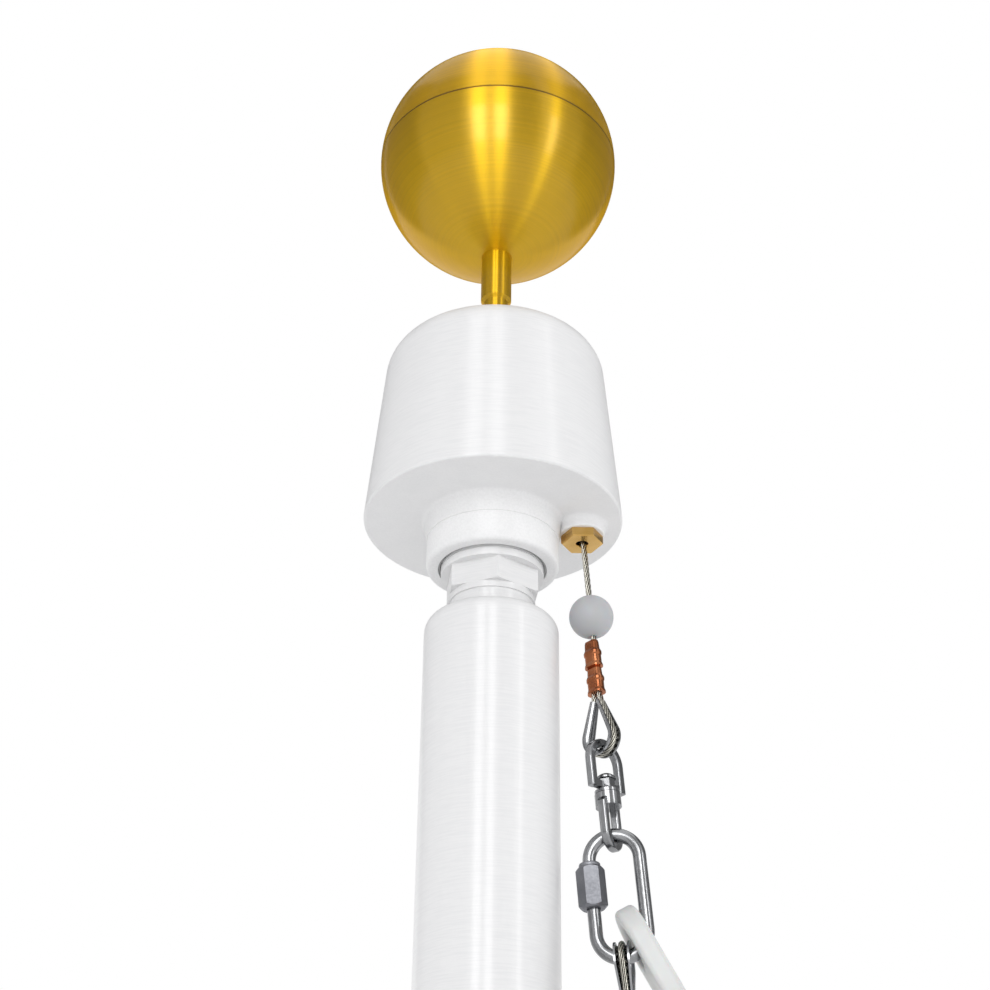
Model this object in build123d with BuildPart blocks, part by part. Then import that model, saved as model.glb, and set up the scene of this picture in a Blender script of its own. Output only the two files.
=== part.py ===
"""Top section of an internal-halyard flagpole: shaft, revolving truck, ball finial and halyard hardware.

Millimetres, +Z up along the pole, origin at the centre of the shaft's lower face.
The halyard leaves the truck at +X and leans outwards, as it does under the pull of a flag.
"""

from build123d import *

import os
from math import asin, atan2, cos, degrees, hypot, radians, sin, sqrt, tan

# Shared sizes
CUT = 2.0  # overrun of every cut past the face it starts from
RUNNING_GAP = 0.3  # between parts that move past each other
SLIP_GAP = 0.05  # round a rope or pin that is held in its hole

# Pole shaft
SHAFT_DIAMETER = 63.5
SHAFT_WALL = 3.2
SHAFT_LENGTH = 470.0
SHAFT_SHOULDER_RADIUS = 8.0
SHAFT_END_THICKNESS = 14.0

# Stationary spindle screwed into the shaft's end
NECK_DIAMETER = 39.8
NECK_COLLAR_DIAMETER = 41.2
NECK_COLLAR_HEIGHT = 3.2
NECK_LENGTH = 11.5
HEX_ACROSS_FLATS = 41.0
HEX_HEIGHT = 11.7
HEX_TURN = 6.5
HEX_CHAMFER = 0.9
SPINDLE_RING_DIAMETER = 49.2
SPINDLE_RING_HEIGHT = 6.0
SPINDLE_RING_GROOVE = 0.5
JOURNAL_DIAMETER = 34.0
SPINDLE_BORE = 22.0
BEARING_HEIGHT = 15.0

# Truck housing
RIM_DIAMETER = 126.0
CROWN_DIAMETER = 108.0
HOUSING_HEIGHT = 100.0
CROWN_RADIUS = 18.0
CROWN_RISE = 4.0
RIM_EDGE_RADIUS = 1.2
HOUSING_WALL = 7.0
HUB_DIAMETER = 63.6
HUB_STEP = 0.4
HUB_ROOT_SWELL = 1.2
HUB_DEPTH = 25.6
HUB_STEP_DEPTH = 10.4
HUB_FILLET = 2.6
HUB_EDGE_RADIUS = 2.2
HUB_BORE = 52.2
HUB_CLEARANCE = 4.3
SEAL_HEIGHT = 4.0
SEAL_RECESS = 0.8

# Halyard bushing and the boss that carries it
HALYARD_FROM_HUB = 11.4
BOSS_DIAMETER = 22.0
BOSS_HEIGHT = 5.7
BOSS_FILLET = 2.8
BOSS_EDGE_RADIUS = 0.8
BUSHING_ACROSS_FLATS = 17.6
BUSHING_HEAD = 4.6
BUSHING_TOP_CHAMFER = 1.3
BUSHING_SHANK_DIAMETER = 15.0
BUSHING_SHANK_LENGTH = 14.0
BUSHING_BORE = 5.6
BUSHING_LIP_RADIUS = 1.0
BUSHING_CHAMFER = 0.5

# Ball finial
BALL_DIAMETER = 128.4
BALL_WALL = 2.0
BALL_CENTRE_ABOVE_RIM = 228.7
BALL_SEAM_CHAMFER = 0.35
STEM_DIAMETER = 15.9
STEM_FOOT_ABOVE_CROWN = 30.0
STEM_FOOT_CHAMFER = 2.2
STEM_SHANK_DIAMETER = 12.7
STEM_SHANK_DEPTH = 22.0
STEM_IN_BALL = 14.0

# Chain: everything that hangs on the halyard, placed by its distance below the bushing's mouth
CHAIN_LEAN = 4.5
ROPE_DIAMETER = 2.8
ROPE_LEG_SPACING = 3.2
ROPE_BEND_RADIUS = 12.0
ROPE_HIDDEN_LENGTH = 52.0
BEAD_DIAMETER = 21.0
BEAD_STATION = 39.7

# Oval crimp sleeves
SLEEVE_STATION = 52.3
SLEEVE_LENGTH = 13.4
SLEEVE_WIDTH = 8.2
SLEEVE_THICKNESS = 5.2
SLEEVE_NOSE_TAPER = 1.3
SLEEVE_NECK_TAPER = 0.8
SLEEVE_BAND_SWELL = 1.0
SLEEVE_WAIST_SWELL = 0.2
SLEEVE_LIP_SWELL = 1.1
SLEEVE_NOSE_SHARE = 0.08
SLEEVE_NECK_SHARE = 0.32
SLEEVE_BAND_START_SHARE = 0.43
SLEEVE_BAND_END_SHARE = 0.52
SLEEVE_WAIST_SHARE = 0.58
SLEEVE_FLARE_SHARE = 0.84
SLEEVE_LIP_SHARE = 0.94

# Rope thimbles, half-round channels bent to a teardrop
THIMBLE_EYE_RADIUS = 5.3
THIMBLE_SECTION_RADIUS = 3.5
THIMBLE_TIP_SECTION_RADIUS = 2.5
THIMBLE_WALL = 0.9
THIMBLE_CROWN_HEIGHT = 20.3
THIMBLE_TIP_GAP = 0.6
HALYARD_THIMBLE_AZIMUTH = -47.0

# Swivel: a bow with a hub, and an eye that turns in the hub
BOW_SPACING = 18.6
BOW_SECTION = 3.8
BOW_SECTION_RADIUS = 0.9
BOW_AZIMUTH = 45.0
BOW_LENGTH = 24.3
SWIVEL_BASE_DIAMETER = 11.4
SWIVEL_BASE_HEIGHT = 1.4
SWIVEL_WAIST_ACROSS_FLATS = 6.8
SWIVEL_FLARE_HEIGHT = 2.6
SWIVEL_HUB_HEIGHT = 6.6
SWIVEL_BASE_DROP = 2.0
SWIVEL_ARM_HEIGHT = 3.2
SWIVEL_SHANK_DIAMETER = 4.4
SWIVEL_HEAD_DIAMETER = 9.0
SWIVEL_HEAD_HEIGHT = 2.9
EYE_AZIMUTH = 61.0
EYE_INNER_WIDTH = 8.4
EYE_SECTION = 4.0
EYE_SECTION_RADIUS = 1.1
EYE_SHOULDER_HEIGHT = 6.0
EYE_SHOULDER_DIAMETER = 11.8
EYE_TOP_CHAMFER = 2.6
EYE_LENGTH = 26.7

# Quick link
LINK_WIRE_DIAMETER = 6.0
LINK_SPACING = 22.4
LINK_LENGTH = 61.4
LINK_AZIMUTH = -12.0
LINK_SEAT_GAP = 0.5
NUT_ACROSS_FLATS = 11.2
NUT_LENGTH = 20.8
NUT_BELOW_TOP = 14.6
NUT_TURN = 12.0
NUT_CHAMFER = 1.5
NUT_NECK_LENGTH = 1.8
NUT_NECK_DIAMETER = 9.6
NUT_UPPER_STUB = 3.0
NUT_LOWER_STUB = 12.0

# Flag snap, moulded in one piece with its tongue
SNAP_ARC_ANGLE = 49.4
SNAP_TILT = 23.6
SNAP_TURN = 4.9
SNAP_THICKNESS = 9.0
SNAP_EYE_DIAMETER = 33.4
SNAP_EYE_HOLE = 15.4
SNAP_EYE_OFFSET = -1.6
SNAP_EYE_FLARE = 4.4
SNAP_HOOK_DIAMETER = 28.0
SNAP_HOOK_START = 36.0
SNAP_HOOK_END = 64.0
SNAP_THROAT_DIAMETER = 14.0
SNAP_EDGE_RADIUS = 2.2
SNAP_MOUTH_START = 39.0
SNAP_MOUTH_LENGTH = 17.0
TONGUE_WIDTH = 7.6
TONGUE_THICKNESS = 3.6
TONGUE_PIVOT_DIAMETER = 4.4
TONGUE_SLANT = 20.0
TONGUE_LAP = 3.0

# Sling that hangs beside the snap
SLING_OFFSET = 0.4
SLING_FREE_LENGTH = 14.0

# Derived levels along Z
SHAFT_TOP = SHAFT_LENGTH
HEX_BOTTOM = SHAFT_TOP + NECK_LENGTH
HEX_TOP = HEX_BOTTOM + HEX_HEIGHT
HUB_BOTTOM = HEX_TOP + HUB_CLEARANCE
RIM_LEVEL = HUB_BOTTOM + HUB_DEPTH
CROWN_LEVEL = RIM_LEVEL + HOUSING_HEIGHT
BALL_LEVEL = RIM_LEVEL + BALL_CENTRE_ABOVE_RIM
SEAL_BOTTOM = HUB_BOTTOM + SEAL_RECESS
BEARING_BOTTOM = SEAL_BOTTOM + SEAL_HEIGHT
BEARING_TOP = BEARING_BOTTOM + BEARING_HEIGHT
MOUTH_LEVEL = RIM_LEVEL - BOSS_HEIGHT - BUSHING_HEAD
HALYARD_OFFSET = HUB_DIAMETER / 2 + HALYARD_FROM_HUB

ROPE_RADIUS = ROPE_DIAMETER / 2
LINK_RADIUS = LINK_WIRE_DIAMETER / 2
THIMBLE_ROPE_RADIUS = THIMBLE_EYE_RADIUS + THIMBLE_WALL + ROPE_RADIUS + SLIP_GAP

os.makedirs("parts", exist_ok=True)


def save(part, name):
    """Label one finished piece and write it as its own STEP file."""
    part.label = name
    export_step(part, f"parts/{name}.step")


# Frames along the leaning chain
CHAIN_DOWN = Vector(sin(radians(CHAIN_LEAN)), 0, -cos(radians(CHAIN_LEAN)))
CHAIN_UP = CHAIN_DOWN * -1
CHAIN_OUT = Vector(cos(radians(CHAIN_LEAN)), 0, sin(radians(CHAIN_LEAN)))
CHAIN_SIDE = Vector(0, 1, 0)
BUSHING_MIDDLE = Vector(HALYARD_OFFSET, 0, MOUTH_LEVEL + (BUSHING_HEAD + BUSHING_SHANK_LENGTH) / 2)
ROPE_MOUTH = BUSHING_MIDDLE + CHAIN_DOWN * ((BUSHING_HEAD + BUSHING_SHANK_LENGTH) / 2)


def chain_direction(azimuth):
    """Unit vector square to the chain, turned from outwards about the chain."""
    return CHAIN_OUT * cos(radians(azimuth)) + CHAIN_SIDE * sin(radians(azimuth))


# The rope's long leg lies on the bushing; the chain below hangs on the middle of both legs
CHAIN_MOUTH = ROPE_MOUTH - chain_direction(HALYARD_THIMBLE_AZIMUTH) * (ROPE_LEG_SPACING / 2)


def chain_point(station, azimuth=0, shift=0):
    """Point on the chain at a distance below the bushing's mouth, moved sideways by shift."""
    return CHAIN_MOUTH + CHAIN_DOWN * station + chain_direction(azimuth) * shift


def cross_plane(station, azimuth=0, shift=0):
    """Plane square to the chain: X sideways at the azimuth, Z up the chain."""
    return Plane(chain_point(station, azimuth, shift), x_dir=chain_direction(azimuth), z_dir=CHAIN_UP)


def loop_plane(station, azimuth, upward=CHAIN_UP, shift_azimuth=0, shift=0):
    """Plane that holds a loop of the chain: X sideways at the azimuth, Y upward."""
    sideways = chain_direction(azimuth)
    return Plane(chain_point(station, shift_azimuth, shift), x_dir=sideways, z_dir=sideways.cross(upward))


def section_plane(path, normal):
    """Plane across the start of a flat path: X along the path's normal, Y to its left."""
    return Plane(path @ 0, x_dir=normal, z_dir=path % 0)


# Pole shaft: a tube whose upper end is closed in round the spindle's thread
with BuildPart() as pole_shaft:
    with BuildSketch(Plane.XZ) as shaft_profile:
        with BuildLine():
            Polyline(
                (SHAFT_DIAMETER / 2 - SHAFT_WALL, 0),
                (SHAFT_DIAMETER / 2, 0),
                (SHAFT_DIAMETER / 2, SHAFT_TOP),
                (NECK_DIAMETER / 2 + SLIP_GAP, SHAFT_TOP),
                (NECK_DIAMETER / 2 + SLIP_GAP, SHAFT_TOP - SHAFT_END_THICKNESS),
                (SHAFT_DIAMETER / 2 - SHAFT_WALL, SHAFT_TOP - SHAFT_END_THICKNESS),
                close=True,
            )
        make_face()
        shoulder = shaft_profile.vertices().group_by(Axis.Y)[-1].sort_by(Axis.X)[-1]
        fillet(shoulder, SHAFT_SHOULDER_RADIUS)
    revolve(axis=Axis.Z)
save(pole_shaft.part, "pole_shaft")

# Spindle: threaded neck, hexagon, round ring and the journal inside the hub
with BuildPart() as spindle:
    with BuildSketch(Plane.XY.offset(SHAFT_TOP - SHAFT_END_THICKNESS)):
        Circle(NECK_DIAMETER / 2)
    extrude(amount=SHAFT_END_THICKNESS + NECK_LENGTH)
    with BuildSketch(Plane.XY.offset(HEX_BOTTOM - NECK_COLLAR_HEIGHT)):
        Circle(NECK_COLLAR_DIAMETER / 2)
    extrude(amount=NECK_COLLAR_HEIGHT)
    with BuildSketch(Plane.XY.offset(HEX_BOTTOM)):
        RegularPolygon(HEX_ACROSS_FLATS / 2, 6, major_radius=False, rotation=HEX_TURN - 90)
    extrude(amount=HEX_HEIGHT)
    with BuildSketch(Plane.XZ):
        corner = HEX_ACROSS_FLATS / sqrt(3)
        chamfer_rise = HEX_CHAMFER / sqrt(3)
        with BuildLine():
            Polyline(
                (corner - HEX_CHAMFER, HEX_BOTTOM),
                (corner + CUT, HEX_BOTTOM),
                (corner + CUT, HEX_BOTTOM + chamfer_rise * (HEX_CHAMFER + CUT) / HEX_CHAMFER),
                close=True,
            )
        make_face()
    revolve(axis=Axis.Z, mode=Mode.SUBTRACT)
    with BuildSketch(Plane.XY.offset(HEX_TOP)):
        Circle(SPINDLE_RING_DIAMETER / 2)
    extrude(amount=SPINDLE_RING_HEIGHT)
    groove_level = HUB_BOTTOM - SPINDLE_RING_GROOVE
    with BuildSketch(Plane.XY.offset(groove_level)):
        Circle(SPINDLE_RING_DIAMETER / 2 + CUT)
        Circle(SPINDLE_RING_DIAMETER / 2 - SPINDLE_RING_GROOVE, mode=Mode.SUBTRACT)
    extrude(amount=SPINDLE_RING_GROOVE, mode=Mode.SUBTRACT)
    with BuildSketch(Plane.XY.offset(HEX_TOP)):
        Circle(JOURNAL_DIAMETER / 2)
    extrude(amount=BEARING_TOP - HEX_TOP)
    with BuildSketch(Plane.XY.offset(SHAFT_TOP - SHAFT_END_THICKNESS)):
        Circle(SPINDLE_BORE / 2)
    extrude(amount=BEARING_TOP - SHAFT_TOP + SHAFT_END_THICKNESS, mode=Mode.SUBTRACT)
save(spindle.part, "spindle")

# Bearing on the journal, which the truck turns round
with BuildPart() as truck_bearing:
    with BuildSketch(Plane.XY.offset(BEARING_BOTTOM)):
        Circle(HUB_BORE / 2 - RUNNING_GAP)
        Circle(JOURNAL_DIAMETER / 2 + SLIP_GAP, mode=Mode.SUBTRACT)
    extrude(amount=BEARING_HEIGHT)
save(truck_bearing.part, "truck_bearing")

# Truck housing: one casting with its hub, hollow inside, open through the hub
with BuildPart() as truck_housing:
    with BuildSketch(Plane.XZ) as housing_profile:
        hub_upper = HUB_DIAMETER / 2 + HUB_STEP
        hub_root = hub_upper + HUB_ROOT_SWELL
        step_level = RIM_LEVEL - HUB_STEP_DEPTH
        with BuildLine():
            Polyline(
                (0, CROWN_LEVEL + CROWN_RISE),
                (CROWN_DIAMETER / 2, CROWN_LEVEL),
                (RIM_DIAMETER / 2, RIM_LEVEL),
                (hub_root, RIM_LEVEL),
                (hub_upper, step_level),
                (HUB_DIAMETER / 2, step_level),
                (HUB_DIAMETER / 2, HUB_BOTTOM),
                (0, HUB_BOTTOM),
                close=True,
            )
        make_face()
        housing_corners = housing_profile.vertices()
        crown_corner = housing_corners.sort_by_distance((CROWN_DIAMETER / 2, CROWN_LEVEL))[0]
        fillet(crown_corner, CROWN_RADIUS)
        rim_corner = housing_profile.vertices().sort_by_distance((RIM_DIAMETER / 2, RIM_LEVEL))[0]
        fillet(rim_corner, RIM_EDGE_RADIUS)
        hub_corner = housing_profile.vertices().sort_by_distance((hub_root, RIM_LEVEL))[0]
        fillet(hub_corner, HUB_FILLET)
        hub_edge = housing_profile.vertices().sort_by_distance((HUB_DIAMETER / 2, HUB_BOTTOM))[0]
        fillet(hub_edge, HUB_EDGE_RADIUS)
    revolve(axis=Axis.Z)
    boss_axis = Axis((HALYARD_OFFSET, 0, 0), (0, 0, 1))
    with BuildSketch(Plane((HALYARD_OFFSET, 0, 0), x_dir=(0, 1, 0), z_dir=(1, 0, 0))):
        boss_radius = BOSS_DIAMETER / 2
        boss_end = RIM_LEVEL - BOSS_HEIGHT
        boss_root = RIM_LEVEL + HOUSING_WALL / 2
        with BuildLine():
            Polyline(
                (boss_radius - BOSS_EDGE_RADIUS, boss_end),
                (0, boss_end),
                (0, boss_root),
                (boss_radius + BOSS_FILLET, boss_root),
                (boss_radius + BOSS_FILLET, RIM_LEVEL),
            )
            CenterArc((boss_radius + BOSS_FILLET, RIM_LEVEL - BOSS_FILLET), BOSS_FILLET, 90, 90)
            Line((boss_radius, RIM_LEVEL - BOSS_FILLET), (boss_radius, boss_end + BOSS_EDGE_RADIUS))
            CenterArc(
                (boss_radius - BOSS_EDGE_RADIUS, boss_end + BOSS_EDGE_RADIUS), BOSS_EDGE_RADIUS, 0, -90
            )
        make_face()
    revolve(axis=boss_axis)
    with BuildSketch(Plane.XZ):
        cavity_floor = RIM_LEVEL + HOUSING_WALL
        cavity_roof = CROWN_LEVEL - HOUSING_WALL - STEM_SHANK_DEPTH / 2
        bearing_seat = BEARING_TOP + RUNNING_GAP
        with BuildLine():
            Polyline(
                (0, HUB_BOTTOM),
                (HUB_BORE / 2, HUB_BOTTOM),
                (HUB_BORE / 2, bearing_seat),
                (JOURNAL_DIAMETER / 2 + RUNNING_GAP, bearing_seat),
                (JOURNAL_DIAMETER / 2 + RUNNING_GAP, cavity_floor),
                (RIM_DIAMETER / 2 - HOUSING_WALL, cavity_floor),
                (CROWN_DIAMETER / 2 - HOUSING_WALL, cavity_roof),
                (0, cavity_roof),
                close=True,
            )
        make_face()
    revolve(axis=Axis.Z, mode=Mode.SUBTRACT)
    with BuildSketch(Plane.XY.offset(RIM_LEVEL - BOSS_HEIGHT)):
        with Locations((HALYARD_OFFSET, 0)):
            Circle(BUSHING_SHANK_DIAMETER / 2 + SLIP_GAP)
    extrude(amount=BUSHING_SHANK_LENGTH, mode=Mode.SUBTRACT)
    with BuildSketch(Plane.XY.offset(cavity_roof)):
        Circle(STEM_SHANK_DIAMETER / 2 + SLIP_GAP)
    extrude(amount=CROWN_LEVEL + CROWN_RISE - cavity_roof, mode=Mode.SUBTRACT)
save(truck_housing.part, "truck_housing")

# Seal pressed into the hub's mouth round the spindle ring
with BuildPart() as hub_seal:
    with BuildSketch(Plane.XZ):
        seal_inner = SPINDLE_RING_DIAMETER / 2 + RUNNING_GAP
        with BuildLine():
            Polyline(
                (seal_inner, SEAL_BOTTOM),
                (HUB_BORE / 2 - SLIP_GAP, SEAL_BOTTOM),
                (HUB_BORE / 2 - SLIP_GAP, BEARING_BOTTOM - RUNNING_GAP),
                (seal_inner, BEARING_BOTTOM - RUNNING_GAP),
                close=True,
            )
        make_face()
    revolve(axis=Axis.Z)
save(hub_seal.part, "hub_seal")

# Brass bushing the halyard runs out of
with BuildPart() as halyard_bushing:
    with BuildSketch(Plane.XY.offset(MOUTH_LEVEL)):
        with Locations((HALYARD_OFFSET, 0)):
            RegularPolygon(BUSHING_ACROSS_FLATS / 2, 6, major_radius=False)
    extrude(amount=BUSHING_HEAD)
    lower_rim = halyard_bushing.edges().group_by(Axis.Z)[0]
    chamfer(lower_rim, BUSHING_CHAMFER)
    bushing_corner = BUSHING_ACROSS_FLATS / sqrt(3)
    with BuildSketch(Plane((HALYARD_OFFSET, 0, MOUTH_LEVEL + BUSHING_HEAD), z_dir=(0, -1, 0))):
        with BuildLine():
            Polyline(
                (bushing_corner - BUSHING_TOP_CHAMFER, 0),
                (bushing_corner + CUT, 0),
                (bushing_corner + CUT, -BUSHING_TOP_CHAMFER - CUT),
                close=True,
            )
        make_face()
    revolve(axis=Axis((HALYARD_OFFSET, 0, 0), (0, 0, 1)), mode=Mode.SUBTRACT)
    with BuildSketch(Plane.XY.offset(MOUTH_LEVEL + BUSHING_HEAD)):
        with Locations((HALYARD_OFFSET, 0)):
            Circle(BUSHING_SHANK_DIAMETER / 2)
    extrude(amount=BUSHING_SHANK_LENGTH)
    with BuildSketch(Plane.XY.offset(MOUTH_LEVEL)):
        with Locations((HALYARD_OFFSET, 0)):
            Circle(BUSHING_BORE / 2)
    extrude(amount=BUSHING_HEAD + BUSHING_SHANK_LENGTH, mode=Mode.SUBTRACT)
    mouth = halyard_bushing.edges().filter_by(GeomType.CIRCLE).group_by(Axis.Z)[0]
    fillet(mouth, BUSHING_LIP_RADIUS)
save(halyard_bushing.part, "halyard_bushing")

# Finial stem: a rod with a turned-down shank screwed into the crown
with BuildPart() as finial_stem:
    stem_foot = CROWN_LEVEL + CROWN_RISE + STEM_FOOT_ABOVE_CROWN
    ball_bottom = BALL_LEVEL - BALL_DIAMETER / 2
    with BuildSketch(Plane.XY.offset(stem_foot)):
        Circle(STEM_DIAMETER / 2)
    extrude(amount=ball_bottom + STEM_IN_BALL - stem_foot)
    foot_edge = finial_stem.edges().group_by(Axis.Z)[0]
    chamfer(foot_edge, STEM_FOOT_CHAMFER)
    with BuildSketch(Plane.XY.offset(CROWN_LEVEL + CROWN_RISE - STEM_SHANK_DEPTH)):
        Circle(STEM_SHANK_DIAMETER / 2)
    extrude(amount=STEM_SHANK_DEPTH + STEM_FOOT_ABOVE_CROWN + STEM_FOOT_CHAMFER)
save(finial_stem.part, "finial_stem")

# Finial ball: two spun half shells that meet at the equator
with BuildPart() as finial_ball_lower:
    with BuildSketch(Plane.XZ) as lower_shell:
        with BuildLine():
            CenterArc((0, BALL_LEVEL), BALL_DIAMETER / 2, -90, 90)
            Line((BALL_DIAMETER / 2, BALL_LEVEL), (BALL_DIAMETER / 2 - BALL_WALL, BALL_LEVEL))
            CenterArc((0, BALL_LEVEL), BALL_DIAMETER / 2 - BALL_WALL, -90, 90)
            Line((0, BALL_LEVEL - BALL_DIAMETER / 2 + BALL_WALL), (0, BALL_LEVEL - BALL_DIAMETER / 2))
        make_face()
        seam_corner = lower_shell.vertices().sort_by_distance((BALL_DIAMETER / 2, BALL_LEVEL))[0]
        chamfer(seam_corner, BALL_SEAM_CHAMFER)
    revolve(axis=Axis.Z)
    with BuildSketch(Plane.XY.offset(BALL_LEVEL - BALL_DIAMETER / 2 - CUT)):
        Circle(STEM_DIAMETER / 2 + SLIP_GAP)
    extrude(amount=STEM_IN_BALL + CUT, mode=Mode.SUBTRACT)
save(finial_ball_lower.part, "finial_ball_lower")

with BuildPart() as finial_ball_upper:
    with BuildSketch(Plane.XZ) as upper_shell:
        with BuildLine():
            CenterArc((0, BALL_LEVEL), BALL_DIAMETER / 2, 0, 90)
            Line((BALL_DIAMETER / 2, BALL_LEVEL), (BALL_DIAMETER / 2 - BALL_WALL, BALL_LEVEL))
            CenterArc((0, BALL_LEVEL), BALL_DIAMETER / 2 - BALL_WALL, 0, 90)
            Line((0, BALL_LEVEL + BALL_DIAMETER / 2 - BALL_WALL), (0, BALL_LEVEL + BALL_DIAMETER / 2))
        make_face()
        seam_corner = upper_shell.vertices().sort_by_distance((BALL_DIAMETER / 2, BALL_LEVEL))[0]
        chamfer(seam_corner, BALL_SEAM_CHAMFER)
    revolve(axis=Axis.Z)
save(finial_ball_upper.part, "finial_ball_upper")


def leg_angle():
    """Angle between a thimble's leg and its middle line, from the rope's run round it."""
    tip = ROPE_LEG_SPACING / 2
    reach = hypot(tip, THIMBLE_CROWN_HEIGHT)
    return degrees(asin(THIMBLE_ROPE_RADIUS / reach) - atan2(tip, THIMBLE_CROWN_HEIGHT))


ROPE_BEND_LENGTH = ROPE_BEND_RADIUS * tan(radians(leg_angle() / 2))


def channel_section(radius):
    """Draws a half-round channel, open away from the loop's eye, in the sketch at hand."""
    Circle(radius)
    Circle(radius - THIMBLE_WALL, mode=Mode.SUBTRACT)
    Rectangle(2 * radius, radius, align=(Align.CENTER, Align.MAX), mode=Mode.SUBTRACT)


def thimble_part(plane):
    """Thimble in a loop plane whose origin is the middle of its crown and whose Y runs to its tip."""
    lean = leg_angle()
    along_leg = plane.x_dir * sin(radians(lean)) - plane.y_dir * cos(radians(lean))
    off_leg = plane.x_dir * cos(radians(lean)) + plane.y_dir * sin(radians(lean))
    crown_radius = THIMBLE_EYE_RADIUS + THIMBLE_SECTION_RADIUS
    tip_radius = THIMBLE_EYE_RADIUS + THIMBLE_TIP_SECTION_RADIUS
    tip_height = THIMBLE_CROWN_HEIGHT - ROPE_BEND_LENGTH
    leg_length = (tip_height - tip_radius * sin(radians(lean))) / cos(radians(lean))
    tip = plane.origin + off_leg * tip_radius - along_leg * leg_length
    root = plane.origin + off_leg * crown_radius
    with BuildPart() as thimble:
        with BuildSketch(Plane(tip, x_dir=plane.z_dir, z_dir=along_leg)):
            channel_section(THIMBLE_TIP_SECTION_RADIUS)
        with BuildSketch(Plane(root, x_dir=plane.z_dir, z_dir=along_leg)):
            channel_section(THIMBLE_SECTION_RADIUS)
        loft()
        with BuildLine(plane) as crown_path:
            CenterArc((0, 0), crown_radius, lean, -90 - lean)
        crown_wire = crown_path.wires()[0]
        with BuildSketch(section_plane(crown_wire, plane.z_dir)):
            channel_section(THIMBLE_SECTION_RADIUS)
        sweep(path=crown_wire)
        with BuildSketch(plane):
            with Locations((THIMBLE_TIP_GAP / 2, 0)):
                Rectangle(
                    2 * THIMBLE_CROWN_HEIGHT,
                    2 * THIMBLE_CROWN_HEIGHT,
                    align=(Align.MAX, Align.MIN),
                )
        extrude(amount=2 * THIMBLE_SECTION_RADIUS, both=True, mode=Mode.SUBTRACT)
        mirror(about=Plane(plane.origin, z_dir=plane.x_dir))
    return thimble.part


def sleeve_part(station, azimuth, shift_azimuth=0, shift=0):
    """Crimped oval sleeve from a station down: narrow nose, a band between two crimps and a flared end."""
    profile = (
        (0, -SLEEVE_NOSE_TAPER),
        (SLEEVE_NOSE_SHARE, -SLEEVE_NECK_TAPER),
        (SLEEVE_NECK_SHARE, -SLEEVE_NECK_TAPER / 2),
        (SLEEVE_BAND_START_SHARE, SLEEVE_BAND_SWELL),
        (SLEEVE_BAND_END_SHARE, SLEEVE_BAND_SWELL),
        (SLEEVE_WAIST_SHARE, SLEEVE_WAIST_SWELL),
        (SLEEVE_FLARE_SHARE, SLEEVE_WAIST_SWELL),
        (SLEEVE_LIP_SHARE, SLEEVE_LIP_SWELL),
        (1, SLEEVE_LIP_SWELL),
    )
    with BuildPart() as sleeve:
        for share, swell in profile:
            middle = chain_point(station + share * SLEEVE_LENGTH, shift_azimuth, shift)
            with BuildSketch(Plane(middle, x_dir=chain_direction(azimuth), z_dir=CHAIN_UP)):
                SlotOverall(SLEEVE_WIDTH + swell, SLEEVE_THICKNESS + swell)
        loft(ruled=True)
        start = chain_point(station, shift_azimuth, shift)
        with BuildSketch(Plane(start, x_dir=chain_direction(azimuth), z_dir=CHAIN_DOWN)):
            with Locations((-ROPE_LEG_SPACING / 2, 0), (ROPE_LEG_SPACING / 2, 0)):
                Circle(ROPE_RADIUS + SLIP_GAP)
        extrude(amount=SLEEVE_LENGTH, mode=Mode.SUBTRACT)
    return sleeve.part


# Halyard: one rope from inside the truck, round the thimble and back up into the sleeves
SLEEVE_PAIR = 2 * SLEEVE_LENGTH + ROPE_BEND_LENGTH
HALYARD_TIP = SLEEVE_STATION + SLEEVE_PAIR
HALYARD_CROWN = HALYARD_TIP + THIMBLE_CROWN_HEIGHT
halyard_loop = loop_plane(HALYARD_CROWN, HALYARD_THIMBLE_AZIMUTH)
with BuildPart() as halyard_rope:
    with BuildLine(halyard_loop) as halyard_path:
        rope_lean = leg_angle()
        rope_leg = ROPE_LEG_SPACING / 2
        tangent_x = THIMBLE_ROPE_RADIUS * cos(radians(rope_lean))
        tangent_y = THIMBLE_ROPE_RADIUS * sin(radians(rope_lean))
        Line((rope_leg, HALYARD_CROWN + ROPE_HIDDEN_LENGTH), (rope_leg, THIMBLE_CROWN_HEIGHT))
        Line((rope_leg, THIMBLE_CROWN_HEIGHT), (tangent_x, tangent_y))
        CenterArc((0, 0), THIMBLE_ROPE_RADIUS, rope_lean, -180 - 2 * rope_lean)
        Line((-tangent_x, tangent_y), (-rope_leg, THIMBLE_CROWN_HEIGHT))
        Line((-rope_leg, THIMBLE_CROWN_HEIGHT), (-rope_leg, THIMBLE_CROWN_HEIGHT + SLEEVE_PAIR))
        tip_middle = halyard_loop.from_local_coords((0, THIMBLE_CROWN_HEIGHT, 0))
        leg_bends = halyard_path.vertices().sort_by_distance(tip_middle)[:2]
        fillet(leg_bends, ROPE_BEND_RADIUS)
    halyard_wire = halyard_path.wires()[0]
    with BuildSketch(section_plane(halyard_wire, halyard_loop.z_dir)):
        Circle(ROPE_RADIUS)
    sweep(path=halyard_wire)
save(halyard_rope.part, "halyard_rope")

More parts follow.
